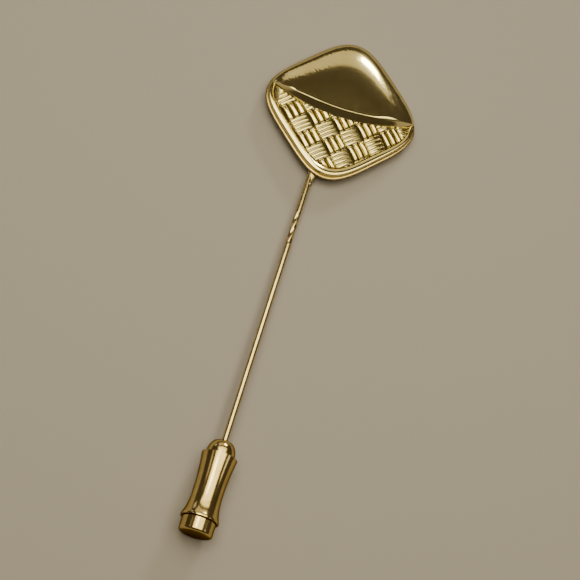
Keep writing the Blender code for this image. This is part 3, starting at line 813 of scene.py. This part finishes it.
floor_top = SLEEVE_LENGTH - SLEEVE_WALL
wall_heights = [SLEEVE_LENGTH * k / WALL_STEPS for k in range(WALL_STEPS + 1)]
section = [(sleeve_radius(height), height) for height in wall_heights]
section += [(BASE_HOLE, SLEEVE_LENGTH), (BASE_HOLE, floor_top)]
section += [(sleeve_radius(h) - SLEEVE_WALL, min(h, floor_top)) for h in reversed(wall_heights[:-1])]
make_piece(
    "waisted_sleeve", turned(softened(section, SMALL_EDGE)), clutch_space, turned_brass,
    "barrel", ["clutch_sleeve"],
)

# %% [markdown]
# ## The nose
# The nose is a domed plug, turned from rod and pressed into the sleeve's mouth. The stem goes in
# through its bore. Behind the dome the bore widens into a cone, and that is what wedges the balls.

# %% Build the domed nose
NOSE_RADIUS, NOSE_HEIGHT, NOSE_LAND = 1.71 * MM, 1.90 * MM, 0.90 * MM
NOSE_STRAIGHT = 0.35 * MM
DOME_STEPS = 24
BORE, BORE_LEAD = 0.45 * MM, 0.20 * MM
CORE_RADIUS, CORE_LENGTH, CORE_SHOULDER = 1.54 * MM, 4.60 * MM, 0.2 * MM
TAPER_START, TAPER_END, TAPER_LEAD = 0.75 * MM, 3.40 * MM, 0.15 * MM
TAPER_SMALL, TAPER_BIG = 0.95 * MM, 1.30 * MM

dome_rise = NOSE_HEIGHT - NOSE_STRAIGHT
dome_mouth = BORE + BORE_LEAD
section = []
for k in range(DOME_STEPS + 1):
    swing = math.pi / 2 * (1 - k / DOME_STEPS)
    reach = dome_mouth + (NOSE_RADIUS - dome_mouth) * math.cos(swing)
    section.append((reach, -NOSE_STRAIGHT - dome_rise * math.sin(swing)))
section += [(NOSE_RADIUS, NOSE_LAND), (CORE_RADIUS, NOSE_LAND + CORE_SHOULDER)]
section += [(CORE_RADIUS, CORE_LENGTH)]
section += [(TAPER_BIG, CORE_LENGTH), (TAPER_BIG, TAPER_END), (TAPER_SMALL, TAPER_START)]
section += [(BORE, TAPER_START - TAPER_LEAD), (BORE, BORE_LEAD - NOSE_HEIGHT)]
make_piece(
    "domed_nose", turned(softened(section, SMALL_EDGE)), clutch_space, turned_brass,
    "barrel", ["clutch_nose"],
)

# %% [markdown]
# ## The knob
# Pulling the knob draws the balls off the stem. It is a turned disc with a well-rounded outer edge,
# and it is pressed on the plunger's rod, so its section has a blind socket in the middle. Smooth
# shading blends a face with its neighbours, so two points close to the ends of the straight side
# keep that side straight in the light as well.

# %% Build the knob
AXIS = 0.0
KNOB_START, KNOB_END, KNOB_RADIUS = 7.95 * MM, 9.65 * MM, 2.02 * MM
KNOB_EDGE = 0.34 * MM
KNOB_STEPS = 12
SOCKET_RADIUS, SOCKET_END = 0.65 * MM, 9.04 * MM

section = [(AXIS, SOCKET_END), (SOCKET_RADIUS, SOCKET_END), (SOCKET_RADIUS, KNOB_START)]
section += [(KNOB_RADIUS - SMALL_EDGE, KNOB_START), (KNOB_RADIUS, KNOB_START + SMALL_EDGE)]
section.append((KNOB_RADIUS, KNOB_START + 2 * SMALL_EDGE))
section.append((KNOB_RADIUS, KNOB_END - KNOB_EDGE - SMALL_EDGE))
for k in range(KNOB_STEPS + 1):
    swing = math.pi / 2 * k / KNOB_STEPS
    radius = KNOB_RADIUS - KNOB_EDGE * (1 - math.cos(swing))
    section.append((radius, KNOB_END - KNOB_EDGE * (1 - math.sin(swing))))
section.append((AXIS, KNOB_END))
make_piece(
    "end_knob", turned(section), clutch_space, turned_brass, "plunger", ["release_knob"]
)

# %% [markdown]
# ## The release spring
# Inside the clutch a small coil spring keeps the balls wedged. Its wire is 0.22 mm thick, its end
# turns are wound close and it works between the plunger's flange and the rear bush. When the knob
# is pulled the spring shortens, towards the bush. A tube swept along a helix is all it needs.

# %% Build the spring
SPRING_START, SPRING_END = 4.42 * MM, 6.80 * MM
COIL_RADIUS, SPRING_WIRE = 0.96 * MM, 0.11 * MM
COIL_TURNS, COIL_STEPS = 5, 40
SPRING_SIDES = 12
CLOSE_WIRES = 2.2

low, high = SPRING_START + SPRING_WIRE, SPRING_END - SPRING_WIRE
close_pitch = CLOSE_WIRES * SPRING_WIRE
open_pitch = (high - low - 2 * close_pitch) / (COIL_TURNS - 2)
rings = []
for k in range(COIL_TURNS * COIL_STEPS + 1):
    turns = k / COIL_STEPS
    open_turns = min(max(turns - 1, 0), COIL_TURNS - 2)
    height = low + close_pitch * (turns - open_turns) + open_pitch * open_turns
    angle = math.tau * turns
    ring = []
    for j in range(SPRING_SIDES):
        swing = math.tau * j / SPRING_SIDES
        reach = COIL_RADIUS + SPRING_WIRE * math.cos(swing)
        rise = SPRING_WIRE * math.sin(swing)
        ring.append((reach * math.cos(angle), reach * math.sin(angle), height + rise))
    rings.append(ring)
spring = make_piece(
    "coil_spring", lofted(rings), clutch_space, spring_steel, "spring", ["release_spring"]
)
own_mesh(spring)

# %% [markdown]
# ## Pieces that keep their engineering shape
# The ball cage, the three balls and the rear bush are already right: they are plain turned and
# drilled parts, and they work out of sight. They stay as the model made them and get the real
# finish.

# %% Finish the inner pieces
inner_finish = {"ball_cage": turned_brass, "rear_bush": turned_brass}
inner_finish.update({name: bearing_steel for name in frame["nodes"] if name.startswith("lock_ball")})
for name, finish in inner_finish.items():
    node = frame["nodes"][name]
    node.data.materials.clear()
    node.data.materials.append(finish)
print("kept with a new finish:", ", ".join(sorted(inner_finish)))

# %% [markdown]
# ## The table
# Real matt paper has almost no shine. Its colour is uniform, so it is set on the shader itself.

# %% Set the table
TABLE_HALF_SIDE = 0.6

table = bpy.data.objects.new("table", bpy.data.meshes.new("table"))
bm = bmesh.new()
bmesh.ops.create_grid(bm, x_segments=1, y_segments=1, size=TABLE_HALF_SIDE)
bm.to_mesh(table.data)
bm.free()
bpy.context.scene.collection.objects.link(table)
table_paint = bpy.data.materials.new("matt_paper")
table_paint.use_nodes = True
table_shader = table_paint.node_tree.nodes["Principled BSDF"]
table_shader.inputs["Base Color"].default_value = linear("#959090")
table_shader.inputs["Roughness"].default_value = 0.9
table.data.materials.append(table_paint)
print("the table is", 2 * TABLE_HALF_SIDE, "m square")

# %% [markdown]
# ## The lamps
# Polished gold has no look of its own: it shows the room. So we place each lamp by what it draws.
#
# The *key lamp* stands low beyond the head's top corner and gives the white highlight on the
# pillow's right shoulder. The *lit wall* behind it is wide and weak, and draws the soft gold band
# along the pillow's upper left. The *skylight* overhead fills the weave, the leaf and the long bar
# of light down the clutch. It ends short of the place that the pillow's flat middle mirrors, or the
# middle would not go dark. The *skylight core* is a small brighter patch in it.
#
# The *dome fill* is a narrow lamp, hung low, that carries the bar up over the clutch's dome. The two
# *strips* draw the thin lines beside the bar, and the *far left lamp* draws a paler patch on the
# left sides. The rest of the room stays dim and warm.

# %% Hang the lamps
def lamp(name, towards, distance, width, height, watts, colour):
    """A soft rectangular lamp, placed in a direction from the pin's middle and facing it."""
    made = bpy.data.objects.new(name, bpy.data.lights.new(name, "AREA"))
    bpy.context.scene.collection.objects.link(made)
    direction = Vector(towards).normalized()
    made.location = direction * distance
    made.rotation_mode = "QUATERNION"
    made.rotation_quaternion = direction.to_track_quat("Z", "Y")
    made.data.shape = "RECTANGLE"
    made.data.size = width
    made.data.size_y = height
    made.data.energy = watts
    made.data.color = linear(colour)[:3]
    print(f"{name}: {watts} W, {round(math.degrees(math.asin(direction.z)))} degrees up")


lamp(
    "key_lamp", towards=(0.21, 0.88, 0.42), distance=0.60,
    width=0.11, height=0.08, watts=1.25, colour="#FFF6E0",
)
lamp(
    "lit_wall", towards=(-0.10, 0.88, 0.47), distance=0.60,
    width=0.60, height=0.25, watts=0.36, colour="#FFEFC8",
)
lamp(
    "skylight", towards=(0.0, 0.02, 1.0), distance=0.25,
    width=0.30, height=0.225, watts=0.76, colour="#FCF0C2",
)
lamp(
    "dome_fill", towards=(-0.04, 0.432, 0.90), distance=0.133,
    width=0.17, height=0.028, watts=0.040, colour="#FCF0C2",
)
lamp(
    "skylight_core", towards=(-0.21, 0.08, 0.97), distance=0.245,
    width=0.07, height=0.06, watts=0.08, colour="#FFFAE6",
)
lamp(
    "left_strip", towards=(-0.77, 0.05, 0.63), distance=0.35,
    width=0.08, height=0.05, watts=0.010, colour="#FFF4D8",
)
lamp(
    "far_left_lamp", towards=(-0.765, 0.597, 0.242), distance=0.60,
    width=0.12, height=0.14, watts=0.04, colour="#FFF8EC",
)
lamp(
    "right_strip", towards=(0.80, 0.0, 0.60), distance=0.35,
    width=0.10, height=0.05, watts=0.028, colour="#FFEFD8",
)

# %% Dim the room
room = bpy.data.worlds.new("dim_room")
bpy.context.scene.world = room
room.use_nodes = True
room_light = room.node_tree.nodes["Background"]
room_light.inputs["Color"].default_value = linear("#C4AF92")
room_light.inputs["Strength"].default_value = 0.13
print("the room's own light:", room_light.inputs["Strength"].default_value)

# %% [markdown]
# ## The camera
# It looks down on the pin from the clutch's end, through a long lens, which keeps a small thing's
# proportions true. It is rolled by thirty degrees, so the pin lies at a slant across the frame.

# %% Place the camera
CAMERA_PLACE = Vector((-14.4, -74.1, 183.3)) * MM
CAMERA_AIM = Vector((0.07735, 0.37006, -0.92578))
CAMERA_ROLL = math.radians(30.48)
camera = bpy.data.objects.new("studio_camera", bpy.data.cameras.new("studio_camera"))
bpy.context.scene.collection.objects.link(camera)
camera.data.lens = 100
camera.data.sensor_width = 36
camera.data.clip_start = 0.01
camera.data.clip_end = 10
camera.location = CAMERA_PLACE
camera.rotation_mode = "QUATERNION"
camera.rotation_quaternion = CAMERA_AIM.to_track_quat("-Z", "Y") @ Quaternion((0, 0, 1), CAMERA_ROLL)
bpy.context.scene.camera = camera
print("the camera is", round(CAMERA_PLACE.length / MM), "mm from the pin's middle")
